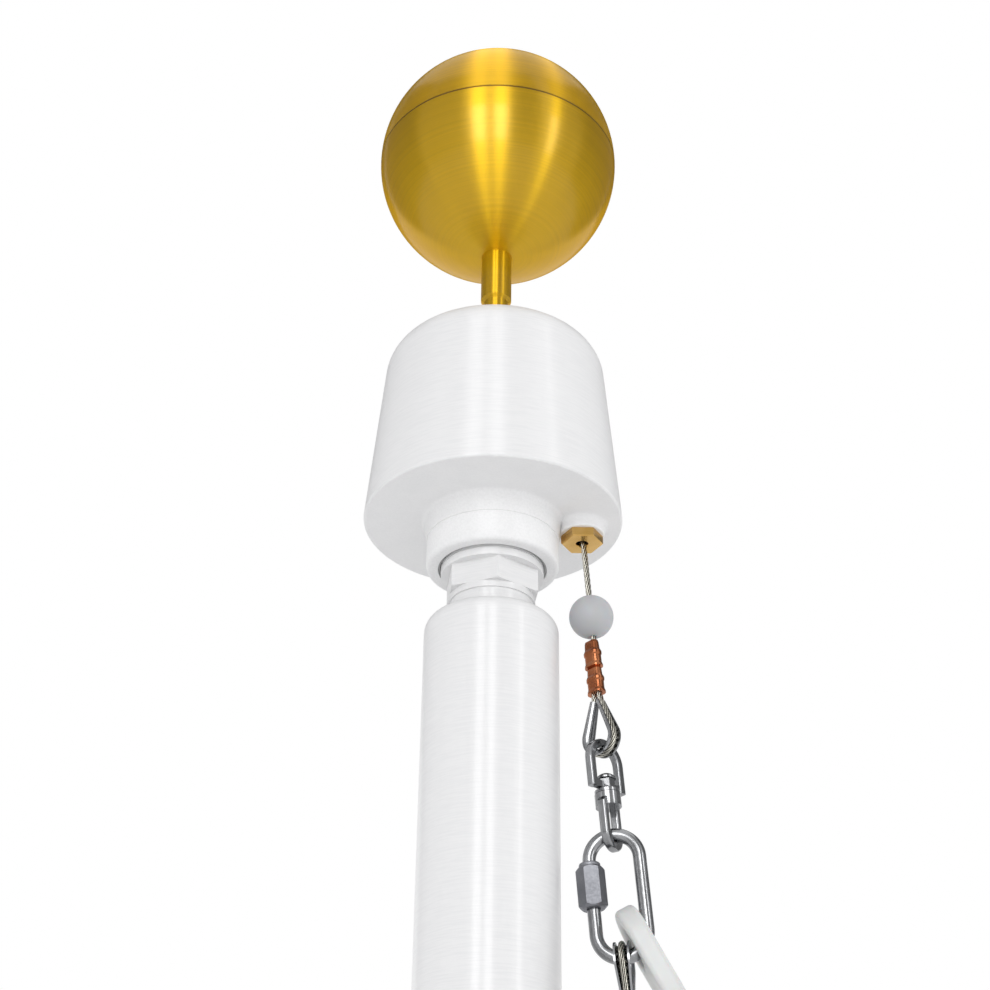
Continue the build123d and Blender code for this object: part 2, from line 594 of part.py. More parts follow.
# Stop bead threaded on the halyard above the sleeves
with BuildPart() as stop_bead:
    bead_middle = cross_plane(BEAD_STATION, HALYARD_THIMBLE_AZIMUTH, ROPE_LEG_SPACING / 2)
    with BuildSketch(Plane(bead_middle.origin, x_dir=bead_middle.x_dir, z_dir=bead_middle.y_dir)):
        with BuildLine():
            CenterArc((0, 0), BEAD_DIAMETER / 2, -90, 180)
            Line((0, -BEAD_DIAMETER / 2), (0, BEAD_DIAMETER / 2))
        make_face()
    revolve(axis=Axis(bead_middle.origin, CHAIN_UP))
    with BuildSketch(bead_middle):
        Circle(ROPE_RADIUS + SLIP_GAP)
    extrude(amount=BEAD_DIAMETER, both=True, mode=Mode.SUBTRACT)
save(stop_bead.part, "stop_bead")

save(sleeve_part(SLEEVE_STATION, HALYARD_THIMBLE_AZIMUTH), "halyard_upper_sleeve")
save(sleeve_part(SLEEVE_STATION + SLEEVE_LENGTH, HALYARD_THIMBLE_AZIMUTH), "halyard_lower_sleeve")
save(thimble_part(halyard_loop), "halyard_thimble")

# Swivel bow: a U over the thimble's crown with a hub between its legs
BOW_PIVOT = HALYARD_CROWN + THIMBLE_EYE_RADIUS + THIMBLE_SECTION_RADIUS
BOW_TOP = BOW_PIVOT - THIMBLE_SECTION_RADIUS - RUNNING_GAP - BOW_SECTION
BOW_END = BOW_TOP + BOW_LENGTH
BASE_END = BOW_END + SWIVEL_BASE_DROP
HUB_TOP = BASE_END - SWIVEL_HUB_HEIGHT
with BuildPart() as swivel_bow:
    bow_arc_station = BOW_TOP + BOW_SECTION / 2 + BOW_SPACING / 2
    bow_loop = loop_plane(bow_arc_station, BOW_AZIMUTH)
    with BuildLine(bow_loop) as bow_path:
        Line((-BOW_SPACING / 2, bow_arc_station - BOW_END), (-BOW_SPACING / 2, 0))
        CenterArc((0, 0), BOW_SPACING / 2, 180, -180)
        Line((BOW_SPACING / 2, 0), (BOW_SPACING / 2, bow_arc_station - BOW_END))
    bow_wire = bow_path.wires()[0]
    with BuildSketch(section_plane(bow_wire, bow_loop.z_dir)):
        RectangleRounded(BOW_SECTION, BOW_SECTION, BOW_SECTION_RADIUS)
    sweep(path=bow_wire)
    with BuildSketch(cross_plane(BOW_END, BOW_AZIMUTH)):
        Rectangle(BOW_SPACING, BOW_SECTION - BOW_SECTION_RADIUS)
    extrude(amount=SWIVEL_ARM_HEIGHT)
    with BuildSketch(cross_plane(BASE_END, BOW_AZIMUTH)):
        RegularPolygon(SWIVEL_WAIST_ACROSS_FLATS / 2, 6, major_radius=False)
    extrude(amount=SWIVEL_HUB_HEIGHT)
    base_plane = loop_plane(BASE_END, BOW_AZIMUTH)
    with BuildSketch(base_plane):
        with BuildLine():
            base_radius = SWIVEL_BASE_DIAMETER / 2
            waist_radius = SWIVEL_WAIST_ACROSS_FLATS / 2
            Polyline(
                (waist_radius, SWIVEL_BASE_HEIGHT + SWIVEL_FLARE_HEIGHT),
                (0, SWIVEL_BASE_HEIGHT + SWIVEL_FLARE_HEIGHT),
                (0, 0),
                (base_radius, 0),
                (base_radius, SWIVEL_BASE_HEIGHT),
            )
            EllipticalCenterArc(
                (base_radius, SWIVEL_BASE_HEIGHT + SWIVEL_FLARE_HEIGHT),
                base_radius - waist_radius,
                SWIVEL_FLARE_HEIGHT,
                start_angle=180,
                arc_size=90,
            )
        make_face()
    revolve(axis=Axis(base_plane.origin, CHAIN_UP))
    with BuildSketch(cross_plane(BASE_END, BOW_AZIMUTH)):
        Circle(SWIVEL_SHANK_DIAMETER / 2 + RUNNING_GAP)
    extrude(amount=SWIVEL_HUB_HEIGHT, mode=Mode.SUBTRACT)
save(swivel_bow.part, "swivel_bow")

# Swivel eye: rivet head, shank through the hub, shoulder and loop
EYE_TOP = BASE_END + RUNNING_GAP
EYE_END = EYE_TOP + EYE_LENGTH
with BuildPart() as swivel_eye:
    eye_spacing = EYE_INNER_WIDTH + EYE_SECTION
    eye_arc_station = EYE_END - EYE_SECTION / 2 - eye_spacing / 2
    eye_loop = loop_plane(eye_arc_station, EYE_AZIMUTH)
    with BuildLine(eye_loop) as eye_path:
        Line((-eye_spacing / 2, eye_arc_station - EYE_TOP), (-eye_spacing / 2, 0))
        CenterArc((0, 0), eye_spacing / 2, 180, 180)
        Line((eye_spacing / 2, 0), (eye_spacing / 2, eye_arc_station - EYE_TOP))
    eye_wire = eye_path.wires()[0]
    with BuildSketch(section_plane(eye_wire, eye_loop.z_dir)):
        RectangleRounded(EYE_SECTION, EYE_SECTION, EYE_SECTION_RADIUS)
    sweep(path=eye_wire)
    with BuildSketch(cross_plane(EYE_TOP + EYE_SHOULDER_HEIGHT, EYE_AZIMUTH)):
        Circle(EYE_SHOULDER_DIAMETER / 2)
    extrude(amount=EYE_SHOULDER_HEIGHT)
    shoulder_plane = loop_plane(EYE_TOP, EYE_AZIMUTH)
    eye_reach = eye_spacing / 2 + EYE_SECTION
    with BuildSketch(shoulder_plane):
        with BuildLine():
            Polyline(
                (EYE_SHOULDER_DIAMETER / 2, 0),
                (eye_reach, 0),
                (eye_reach, EYE_SHOULDER_DIAMETER / 2 - eye_reach - EYE_TOP_CHAMFER),
                (EYE_SHOULDER_DIAMETER / 2, -EYE_TOP_CHAMFER),
                close=True,
            )
        make_face()
    revolve(axis=Axis(shoulder_plane.origin, CHAIN_UP), mode=Mode.SUBTRACT)
    head_seat = HUB_TOP - RUNNING_GAP
    with BuildSketch(cross_plane(EYE_TOP, EYE_AZIMUTH)):
        Circle(SWIVEL_SHANK_DIAMETER / 2)
    extrude(amount=EYE_TOP - head_seat)
    head_plane = loop_plane(head_seat, EYE_AZIMUTH)
    with BuildSketch(head_plane):
        with BuildLine():
            head_edge = SWIVEL_HEAD_HEIGHT / 4
            Line((0, SWIVEL_HEAD_HEIGHT), (0, 0))
            Line((0, 0), (SWIVEL_HEAD_DIAMETER / 2, 0))
            Line((SWIVEL_HEAD_DIAMETER / 2, 0), (SWIVEL_HEAD_DIAMETER / 2, head_edge))
            TangentArc(
                (0, SWIVEL_HEAD_HEIGHT),
                (SWIVEL_HEAD_DIAMETER / 2, head_edge),
                tangent=(1, 0),
            )
        make_face()
    revolve(axis=Axis(head_plane.origin, CHAIN_UP))
save(swivel_eye.part, "swivel_eye")

# Quick link: an open loop of round wire whose gap the sleeve nut closes
LINK_TOP = EYE_END - EYE_SECTION - LINK_SEAT_GAP - LINK_WIRE_DIAMETER
LINK_UPPER_ARC = LINK_TOP + LINK_RADIUS + LINK_SPACING / 2
LINK_LOWER_ARC = LINK_TOP + LINK_LENGTH - LINK_RADIUS - LINK_SPACING / 2
NUT_TOP = LINK_TOP + NUT_BELOW_TOP
NUT_END = NUT_TOP + NUT_LENGTH
link_loop = loop_plane(LINK_UPPER_ARC, LINK_AZIMUTH)
with BuildPart() as quick_link:
    leg = LINK_SPACING / 2
    lower_arc = LINK_UPPER_ARC - LINK_LOWER_ARC
    with BuildLine(link_loop) as link_path:
        Line((-leg, LINK_UPPER_ARC - NUT_TOP - NUT_UPPER_STUB), (-leg, 0))
        CenterArc((0, 0), leg, 180, -180)
        Line((leg, 0), (leg, lower_arc))
        CenterArc((0, lower_arc), leg, 0, -180)
        Line((-leg, lower_arc), (-leg, LINK_UPPER_ARC - NUT_END + NUT_LOWER_STUB))
    link_wire = link_path.wires()[0]
    with BuildSketch(section_plane(link_wire, link_loop.z_dir)):
        Circle(LINK_RADIUS)
    sweep(path=link_wire)
save(quick_link.part, "quick_link")

with BuildPart() as link_nut:
    nut_hex_length = NUT_LENGTH - NUT_NECK_LENGTH
    with BuildSketch(cross_plane(NUT_END, LINK_AZIMUTH, -LINK_SPACING / 2)):
        RegularPolygon(NUT_ACROSS_FLATS / 2, 6, major_radius=False, rotation=NUT_TURN)
    extrude(amount=nut_hex_length)
    nut_axis = Axis(chain_point(NUT_END, LINK_AZIMUTH, -LINK_SPACING / 2), CHAIN_UP)
    nut_corner = NUT_ACROSS_FLATS / sqrt(3)
    with BuildSketch(loop_plane(NUT_END, LINK_AZIMUTH, CHAIN_UP, LINK_AZIMUTH, -LINK_SPACING / 2)):
        with BuildLine():
            Polyline(
                (nut_corner - NUT_CHAMFER, 0),
                (nut_corner + CUT, 0),
                (nut_corner + CUT, NUT_CHAMFER + CUT),
                close=True,
            )
        make_face()
        mirror(about=Plane((0, nut_hex_length / 2, 0), z_dir=(0, 1, 0)))
    revolve(axis=nut_axis, mode=Mode.SUBTRACT)
    with BuildSketch(cross_plane(NUT_END, LINK_AZIMUTH, -LINK_SPACING / 2)):
        Circle(NUT_NECK_DIAMETER / 2)
    extrude(amount=NUT_LENGTH)
    neck_rim = link_nut.edges().filter_by(GeomType.CIRCLE).sort_by(nut_axis)[-1]
    fillet(neck_rim, NUT_NECK_LENGTH / 2)
    with BuildSketch(cross_plane(NUT_END, LINK_AZIMUTH, -LINK_SPACING / 2)):
        Circle(LINK_RADIUS + RUNNING_GAP / 2)
    extrude(amount=NUT_LENGTH, mode=Mode.SUBTRACT)
save(link_nut.part, "link_nut")

# Flag snap: eye on the link's lower corner, shank and hook with a mouth in its side
LINK_SIDE = chain_direction(LINK_AZIMUTH)
SNAP_DOWN = LINK_SIDE * sin(radians(SNAP_TILT)) + CHAIN_DOWN * cos(radians(SNAP_TILT))
SNAP_LEVEL = LINK_SIDE * cos(radians(SNAP_TILT)) + CHAIN_UP * sin(radians(SNAP_TILT))
SNAP_FRONT = SNAP_DOWN.cross(SNAP_LEVEL)
SNAP_AXIS = SNAP_LEVEL * cos(radians(SNAP_TURN)) - SNAP_FRONT * sin(radians(SNAP_TURN))
SNAP_WIRE = (
    chain_point(LINK_LOWER_ARC)
    + LINK_SIDE * (LINK_SPACING / 2 * sin(radians(SNAP_ARC_ANGLE)))
    + CHAIN_DOWN * (LINK_SPACING / 2 * cos(radians(SNAP_ARC_ANGLE)))
)
snap_plane = Plane(SNAP_WIRE + SNAP_DOWN * SNAP_EYE_OFFSET, x_dir=SNAP_DOWN, z_dir=SNAP_AXIS)
with BuildPart() as snap_body:
    eye_radius = SNAP_EYE_DIAMETER / 2
    hook_radius = SNAP_HOOK_DIAMETER / 2
    hook_middle = (SNAP_HOOK_START + SNAP_HOOK_END) / 2
    flank = degrees(asin((eye_radius - hook_radius) / SNAP_HOOK_END))
    eye_tangent = (eye_radius * sin(radians(flank)), eye_radius * cos(radians(flank)))
    hook_tangent = (SNAP_HOOK_END + hook_radius * sin(radians(flank)), hook_radius * cos(radians(flank)))
    with BuildSketch(snap_plane):
        with BuildLine():
            CenterArc((0, 0), eye_radius, 90 - flank, 180 + 2 * flank)
            Line((eye_tangent[0], -eye_tangent[1]), (hook_tangent[0], -hook_tangent[1]))
            CenterArc((SNAP_HOOK_END, 0), hook_radius, flank - 90, 180 - 2 * flank)
            Line(hook_tangent, eye_tangent)
        make_face()
    extrude(amount=SNAP_THICKNESS / 2, both=True)
    snap_rims = snap_body.edges().filter_by(Axis(snap_plane.origin, SNAP_AXIS), reverse=True)
    fillet(snap_rims, SNAP_EDGE_RADIUS)
    with BuildSketch(Plane(snap_plane.origin, x_dir=SNAP_DOWN, z_dir=SNAP_DOWN.cross(SNAP_AXIS))):
        hole_radius = SNAP_EYE_HOLE / 2
        flare_radius = hole_radius + SNAP_EYE_FLARE
        flare_level = SNAP_THICKNESS / 2 - SNAP_EYE_FLARE
        with BuildLine():
            Line((0, -SNAP_THICKNESS / 2), (flare_radius, -SNAP_THICKNESS / 2))
            CenterArc((flare_radius, -flare_level), SNAP_EYE_FLARE, 270, -90)
            Line((hole_radius, -flare_level), (hole_radius, flare_level))
            CenterArc((flare_radius, flare_level), SNAP_EYE_FLARE, 180, -90)
            Line((flare_radius, SNAP_THICKNESS / 2), (0, SNAP_THICKNESS / 2))
            Line((0, SNAP_THICKNESS / 2), (0, -SNAP_THICKNESS / 2))
        make_face()
    revolve(axis=Axis(snap_plane.origin, SNAP_AXIS), mode=Mode.SUBTRACT)
    tongue_pivot = (
        SNAP_MOUTH_START,
        (SNAP_HOOK_DIAMETER + SNAP_THROAT_DIAMETER) / 4,
    )
    with BuildSketch(snap_plane):
        with Locations((hook_middle, 0)):
            SlotCenterToCenter(SNAP_HOOK_END - SNAP_HOOK_START, SNAP_THROAT_DIAMETER)
        with Locations((SNAP_MOUTH_START, 0)):
            Rectangle(
                SNAP_MOUTH_LENGTH,
                SNAP_HOOK_DIAMETER,
                align=(Align.MIN, Align.MIN),
            )
        with Locations(tongue_pivot):
            Circle(TONGUE_PIVOT_DIAMETER / 2 + RUNNING_GAP)
    extrude(amount=SNAP_THICKNESS, both=True, mode=Mode.SUBTRACT)
save(snap_body.part, "snap_body")

# Spring tongue that closes the snap's mouth from inside
with BuildPart() as snap_tongue:
    with BuildSketch(snap_plane):
        with Locations(tongue_pivot):
            Circle(TONGUE_PIVOT_DIAMETER / 2)
        with Locations(Location((tongue_pivot[0], tongue_pivot[1], 0), (0, 0, -TONGUE_SLANT))):
            Rectangle(
                SNAP_MOUTH_LENGTH + TONGUE_LAP,
                TONGUE_THICKNESS,
                align=(Align.MIN, Align.CENTER),
            )
    extrude(amount=TONGUE_WIDTH / 2, both=True)
save(snap_tongue.part, "snap_tongue")

# Sling: a short rope with a thimble eye at each end, hung on the link beside the snap
SLING_WIRE_RISE = LINK_SPACING / 2 - sqrt((LINK_SPACING / 2) ** 2 - SLING_OFFSET**2)
SLING_SEAT = LINK_TOP + LINK_LENGTH - LINK_WIRE_DIAMETER - SLING_WIRE_RISE - LINK_SEAT_GAP
SLING_AZIMUTH = LINK_AZIMUTH + 90
SLING_UPPER_CROWN = SLING_SEAT + THIMBLE_EYE_RADIUS
SLING_UPPER_SLEEVE = SLING_UPPER_CROWN + THIMBLE_CROWN_HEIGHT + ROPE_BEND_LENGTH
SLING_LOWER_SLEEVE = SLING_UPPER_SLEEVE + 2 * SLEEVE_LENGTH + SLING_FREE_LENGTH
SLING_LOWER_CROWN = SLING_LOWER_SLEEVE + SLEEVE_PAIR + THIMBLE_CROWN_HEIGHT
upper_loop = loop_plane(SLING_UPPER_CROWN, SLING_AZIMUTH, CHAIN_DOWN, LINK_AZIMUTH, -SLING_OFFSET)
lower_loop = loop_plane(SLING_LOWER_CROWN, SLING_AZIMUTH, CHAIN_UP, LINK_AZIMUTH, -SLING_OFFSET)
save(thimble_part(upper_loop), "sling_upper_thimble")
save(thimble_part(lower_loop), "sling_lower_thimble")
for sleeve_name, sleeve_start in (
    ("sling_sleeve_1", SLING_UPPER_SLEEVE),
    ("sling_sleeve_2", SLING_UPPER_SLEEVE + SLEEVE_LENGTH),
    ("sling_sleeve_3", SLING_LOWER_SLEEVE),
    ("sling_sleeve_4", SLING_LOWER_SLEEVE + SLEEVE_LENGTH),
):
    save(sleeve_part(sleeve_start, SLING_AZIMUTH, LINK_AZIMUTH, -SLING_OFFSET), sleeve_name)

with BuildPart() as sling_rope:
    far_crown = SLING_LOWER_CROWN - SLING_UPPER_CROWN
    far_tip = far_crown - THIMBLE_CROWN_HEIGHT
    tail = SLEEVE_PAIR
    with BuildLine(upper_loop) as sling_path:
        Line((-rope_leg, THIMBLE_CROWN_HEIGHT + tail), (-rope_leg, THIMBLE_CROWN_HEIGHT))
        Line((-rope_leg, THIMBLE_CROWN_HEIGHT), (-tangent_x, tangent_y))
        CenterArc((0, 0), THIMBLE_ROPE_RADIUS, 180 - rope_lean, 180 + 2 * rope_lean)
        Line((tangent_x, tangent_y), (rope_leg, THIMBLE_CROWN_HEIGHT))
        Line((rope_leg, THIMBLE_CROWN_HEIGHT), (rope_leg, far_tip))
        Line((rope_leg, far_tip), (tangent_x, far_crown - tangent_y))
        CenterArc((0, far_crown), THIMBLE_ROPE_RADIUS, -rope_lean, 180 + 2 * rope_lean)
        Line((-tangent_x, far_crown - tangent_y), (-rope_leg, far_tip))
        Line((-rope_leg, far_tip), (-rope_leg, far_tip - tail))
        upper_middle = upper_loop.from_local_coords((0, THIMBLE_CROWN_HEIGHT, 0))
        lower_middle = upper_loop.from_local_coords((0, far_tip, 0))
        upper_bends = sling_path.vertices().sort_by_distance(upper_middle)[:2]
        lower_bends = sling_path.vertices().sort_by_distance(lower_middle)[:2]
        fillet(upper_bends + lower_bends, ROPE_BEND_RADIUS)
    sling_wire = sling_path.wires()[0]
    with BuildSketch(section_plane(sling_wire, upper_loop.z_dir)):
        Circle(ROPE_RADIUS)
    sweep(path=sling_wire)
save(sling_rope.part, "sling_rope")
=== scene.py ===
from math import asin, atan2, cos, hypot, pi, radians, sin, tan

import bmesh
import bpy
from mathutils import Matrix, Vector


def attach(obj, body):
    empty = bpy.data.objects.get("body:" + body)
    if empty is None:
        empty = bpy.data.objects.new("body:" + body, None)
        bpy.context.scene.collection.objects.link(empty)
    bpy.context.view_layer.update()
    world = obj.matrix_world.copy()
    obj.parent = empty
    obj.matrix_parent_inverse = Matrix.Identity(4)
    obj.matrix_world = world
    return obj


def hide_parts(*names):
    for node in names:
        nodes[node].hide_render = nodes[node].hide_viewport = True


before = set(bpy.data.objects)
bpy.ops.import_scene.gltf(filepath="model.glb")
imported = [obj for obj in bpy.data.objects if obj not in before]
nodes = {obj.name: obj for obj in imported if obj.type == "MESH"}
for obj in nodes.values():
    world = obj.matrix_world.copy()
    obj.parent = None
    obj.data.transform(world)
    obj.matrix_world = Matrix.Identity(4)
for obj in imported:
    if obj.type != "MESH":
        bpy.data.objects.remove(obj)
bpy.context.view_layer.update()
scene = bpy.context.scene
scene.view_settings.view_transform = "Standard"

MM = 0.001


# Camera: fitted to the photograph, close below the truck and looking up
FOCAL_PX = 1871.146
IMAGE_PX = 990
SENSOR_WIDTH = 36
CAMERA_PITCH = radians(31.623)
CAMERA_ROLL = radians(0.763)
CAMERA_PLACE = Vector((0.8, -782.4, 58.53)) * MM

look = Vector((0, cos(CAMERA_PITCH), sin(CAMERA_PITCH)))
level = Vector((1, 0, 0))
upright = Vector((0, -sin(CAMERA_PITCH), cos(CAMERA_PITCH)))
camera_right = level * cos(CAMERA_ROLL) + upright * sin(CAMERA_ROLL)
camera_top = upright * cos(CAMERA_ROLL) - level * sin(CAMERA_ROLL)
camera_data = bpy.data.cameras.new("camera")
camera_data.sensor_width = SENSOR_WIDTH
camera_data.lens = FOCAL_PX / IMAGE_PX * SENSOR_WIDTH
camera_data.clip_start = 10 * MM
camera = bpy.data.objects.new("camera", camera_data)
turn = Matrix((camera_right, camera_top, -look)).transposed()
camera.matrix_world = Matrix.Translation(CAMERA_PLACE) @ turn.to_4x4()
scene.collection.objects.link(camera)
scene.camera = camera


# Helpers
def grey(tone):
    return (tone, tone, tone)


def add_piece(name, form, material):
    """Object from a bmesh, which is freed, with one material."""
    mesh = bpy.data.meshes.new(name)
    form.to_mesh(mesh)
    form.free()
    mesh.materials.append(material)
    piece = bpy.data.objects.new(name, mesh)
    scene.collection.objects.link(piece)
    return piece


class Nodes:
    """A material's node tree with short calls for the nodes used here."""

    def __init__(self, name):
        self.material = bpy.data.materials.new(name)
        self.material.use_nodes = True
        self.tree = self.material.node_tree
        self.shader = self.tree.nodes["Principled BSDF"]
        self.coords = self.tree.nodes.new("ShaderNodeTexCoord")

    def link(self, source, target):
        self.tree.links.new(source, target)

    def drive(self, **sources):
        """Links outputs to the shader's inputs of those names."""
        for key, source in sources.items():
            self.link(source, self.shader.inputs[key.replace("_", " ")])

    def driver_of(self, key):
        return self.shader.inputs[key].links[0].from_socket

    def set(self, **values):
        for key, value in values.items():
            self.shader.inputs[key.replace("_", " ")].default_value = value

    def height(self):
        node = self.tree.nodes.new("ShaderNodeSeparateXYZ")
        self.link(self.coords.outputs["Object"], node.inputs["Vector"])
        return node.outputs["Z"]

    def noise(self, scale, detail=3.0, roughness=0.55, rotation=(0, 0, 0)):
        """Noise in the part's own space, with its scale per metre along each axis."""
        mapping = self.tree.nodes.new("ShaderNodeMapping")
        mapping.inputs["Scale"].default_value = scale
        mapping.inputs["Rotation"].default_value = rotation
        self.link(self.coords.outputs["Object"], mapping.inputs["Vector"])
        node = self.tree.nodes.new("ShaderNodeTexNoise")
        node.inputs["Scale"].default_value = 1.0
        node.inputs["Detail"].default_value = detail
        node.inputs["Roughness"].default_value = roughness
        self.link(mapping.outputs["Vector"], node.inputs["Vector"])
        return node.outputs["Fac"]

    def ramp(self, value, stops):
        node = self.tree.nodes.new("ShaderNodeValToRGB")
        ramp = node.color_ramp
        while len(ramp.elements) < len(stops):
            ramp.elements.new(0.5)
        for element, (place, colour) in zip(ramp.elements, stops):
            element.position = place
            element.color = (*colour, 1.0)
        self.link(value, node.inputs["Fac"])
        return node.outputs["Color"]

    def span(self, value, low, high, start=0.3, end=0.7):
        node = self.tree.nodes.new("ShaderNodeMapRange")
        node.inputs["From Min"].default_value = start
        node.inputs["From Max"].default_value = end
        node.inputs["To Min"].default_value = low
        node.inputs["To Max"].default_value = high
        self.link(value, node.inputs["Value"])
        return node.outputs["Result"]

    def product(self, first, second):
        node = self.tree.nodes.new("ShaderNodeMath")
        node.operation = "MULTIPLY"
        self.link(first, node.inputs[0])
        self.link(second, node.inputs[1])
        return node.outputs[0]

    def mix(self, factor, first, second, kind="RGBA"):
        """Mix of two colours, numbers (kind FLOAT) or directions (kind VECTOR)."""
        node = self.tree.nodes.new("ShaderNodeMix")
        node.data_type = kind
        self.link(factor, node.inputs["Factor"])
        first_input, output = {"FLOAT": (2, 0), "VECTOR": (4, 1), "RGBA": (6, 2)}[kind]
        for index, value in enumerate((first, second), first_input):
            if isinstance(value, tuple):
                node.inputs[index].default_value = (*value, 1.0)
            else:
                self.link(value, node.inputs[index])
        return node.outputs[output]

    def bump(self, height, strength, distance, base=None):
        node = self.tree.nodes.new("ShaderNodeBump")
        node.inputs["Strength"].default_value = strength
        node.inputs["Distance"].default_value = distance
        self.link(height, node.inputs["Height"])
        if base is not None:
            self.link(base, node.inputs["Normal"])
        return node.outputs["Normal"]

    def streaks_along_pole(self):
        """Gloss of a turned surface: its level rings draw each light out along the pole."""
        node = self.tree.nodes.new("ShaderNodeTangent")
        node.direction_type = "RADIAL"
        node.axis = "Z"
        self.drive(Tangent=node.outputs["Tangent"])
        self.set(Anisotropic=1.0, Anisotropic_Rotation=0.25)


# Materials
RIM_LEVEL = 523.1 * MM
RIM_BLEND = 0.4 * MM
SEAM_LEVEL = RIM_LEVEL + 228.7 * MM
# Height of the band of painted shade at the ball's seam
SEAM_SHADE_BAND = 1.0 * MM
COAT_STROKE_SHARES = (0.955, 0.957, 0.96)
CAST_TONES = (0.79, 0.85)
GOLD_DARK = (0.7, 0.42, 0.008)
GOLD_LIGHT = (0.82, 0.505, 0.012)
GOLD_EDGE = (0.8, 0.55, 0.3, 1.0)
# Colour of the painted shade in the ball's seam
SEAM_PAINTED_SHADE = (0.22, 0.11, 0.01)
WORN_WIRE_SHARE = 0.75


def white_turned(name, tone):
    """White coat on turned metal: fine level lines, short scratches and a soft sheen."""
    n = Nodes(name)
    rings = n.noise((6, 6, 900), 4.0, 0.6)
    strokes = n.noise((90, 90, 1500), 2.0, 0.5)
    cloud = n.noise((14, 14, 14), 2.0)
    stroke_tone = tuple(tone * share for share in COAT_STROKE_SHARES)
    shade = n.mix(n.span(strokes, 0, 1, 0.35, 0.6), stroke_tone, grey(tone))
    n.drive(
        Base_Color=n.mix(n.span(cloud, 0, 0.25, 0.4, 0.7), shade, grey(tone)),
        Roughness=n.span(rings, 0.3, 0.38),
        Normal=n.bump(strokes, 0.22, 0.03 * MM, n.bump(rings, 0.15, 0.04 * MM)),
    )
    n.set(IOR=1.5, Specular_IOR_Level=0.85)
    n.streaks_along_pole()
    return n


def cast_below(n, level):
    """Turns the finish into a grainy casting below a level: the truck's underside, hub and boss."""
    cast = n.span(n.height(), 1, 0, level - RIM_BLEND, level + RIM_BLEND)
    grain = n.noise((900, 900, 900), 3.0, 0.7)
    pits = n.noise((330, 330, 330), 2.0)
    cast_colour = n.mix(n.span(grain, 0, 1, 0.3, 0.62), *map(grey, CAST_TONES))
    cast_rough = n.span(pits, 0.42, 0.56)
    cast_normal = n.bump(pits, 0.22, 0.2 * MM, n.bump(grain, 0.46, 0.14 * MM))
    n.drive(
        Base_Color=n.mix(cast, n.driver_of("Base Color"), cast_colour),
        Roughness=n.mix(cast, n.driver_of("Roughness"), cast_rough, "FLOAT"),
        Normal=n.mix(cast, n.driver_of("Normal"), cast_normal, "VECTOR"),
    )
    return n


def gold_turned(name, low, high):
    """Satin gold anodised metal, spun, with painted shade darkening a thin band at the seam of the
    ball.
    """
    n = Nodes(name)
    height = n.height()
    # Painted shade: a dark band just below the seam level stands for the shade in the seam's groove
    above = n.span(height, 0, 1, SEAM_LEVEL - SEAM_SHADE_BAND, SEAM_LEVEL - 0.6 * SEAM_SHADE_BAND)
    below = n.span(height, 1, 0, SEAM_LEVEL, SEAM_LEVEL + 0.4 * SEAM_SHADE_BAND)
    rings = n.noise((5, 5, 1100), 5.0, 0.65)
    strokes = n.noise((70, 70, 1700), 2.0, 0.5)
    gold = n.ramp(rings, ((0.3, GOLD_DARK), (0.7, GOLD_LIGHT)))
    n.drive(
        Base_Color=n.mix(n.product(above, below), gold, SEAM_PAINTED_SHADE),
        Roughness=n.span(rings, low, high),
        Normal=n.bump(strokes, 0.14, 0.03 * MM, n.bump(rings, 0.1, 0.04 * MM)),
    )
    n.set(Metallic=1.0, Specular_Tint=GOLD_EDGE)
    n.set(Coat_Weight=0.45, Coat_IOR=1.6, Coat_Roughness=0.2)
    n.streaks_along_pole()
    return n


def plated(name, dark, light, low, high, grain=420):
    """Plated or bare metal with a fine grain, cloudy tone and small scratches."""
    n = Nodes(name)
    fine = n.noise((grain, grain, grain), 4.0, 0.6)
    cloud = n.noise((60, 60, 60), 2.0)
    scratch = n.noise((150, 900, 220), 2.0, rotation=(0.4, 0.3, 0.8))
    n.drive(
        Base_Color=n.mix(n.span(cloud, 0, 1), dark, light),
        Roughness=n.span(fine, low, high),
        Normal=n.bump(scratch, 0.1, 0.04 * MM, n.bump(fine, 0.16, 0.05 * MM)),
    )
    n.set(Metallic=1.0)
    return n


def stranded(name, dark, light, low, high):
    """Wire strands: their own tone on the crests, with painted shade darkening the grooves between
    them.
    """
    n = Nodes(name)
    crest = n.tree.nodes.new("ShaderNodeAttribute")
    crest.attribute_name = "crest"
    fine = n.noise((700, 700, 700))
    worn = n.mix(n.span(fine, 0, 1), tuple(WORN_WIRE_SHARE * part for part in light), light)
    n.drive(
        # Painted shade: the colour runs to near black towards each strand's inner side and on the
        # core, in the grooves
        Base_Color=n.mix(n.span(crest.outputs["Fac"], 0, 1, 0.35, 0.85), dark, worn),
        Roughness=n.span(fine, low, high),
    )
    n.set(Metallic=1.0)
    return n


def moulded(name, dark, light, low, high, depth):
    """Moulded plastic: an even tone with a slight orange-peel skin."""
    n = Nodes(name)
    peel = n.noise((260, 260, 260), 2.0)
    cloud = n.noise((45, 45, 45), 2.0)
    n.drive(
        Base_Color=n.mix(n.span(cloud, 0, 1), dark, light),
        Roughness=n.span(peel, low, high),
        Normal=n.bump(peel, 0.12, 0.06 * MM),
    )
    n.set(Subsurface_Weight=depth, Subsurface_Scale=2 * MM, IOR=1.5)
    return n


def speckled(name, tone, lighter, size, rough):
    """Plain studio paper: one pale or grey tone with faint specks."""
    n = Nodes(name)
    speck = n.noise((size, size, size))
    n.drive(Base_Color=n.mix(speck, grey(tone), grey(lighter)))
    n.set(Roughness=rough)
    return n


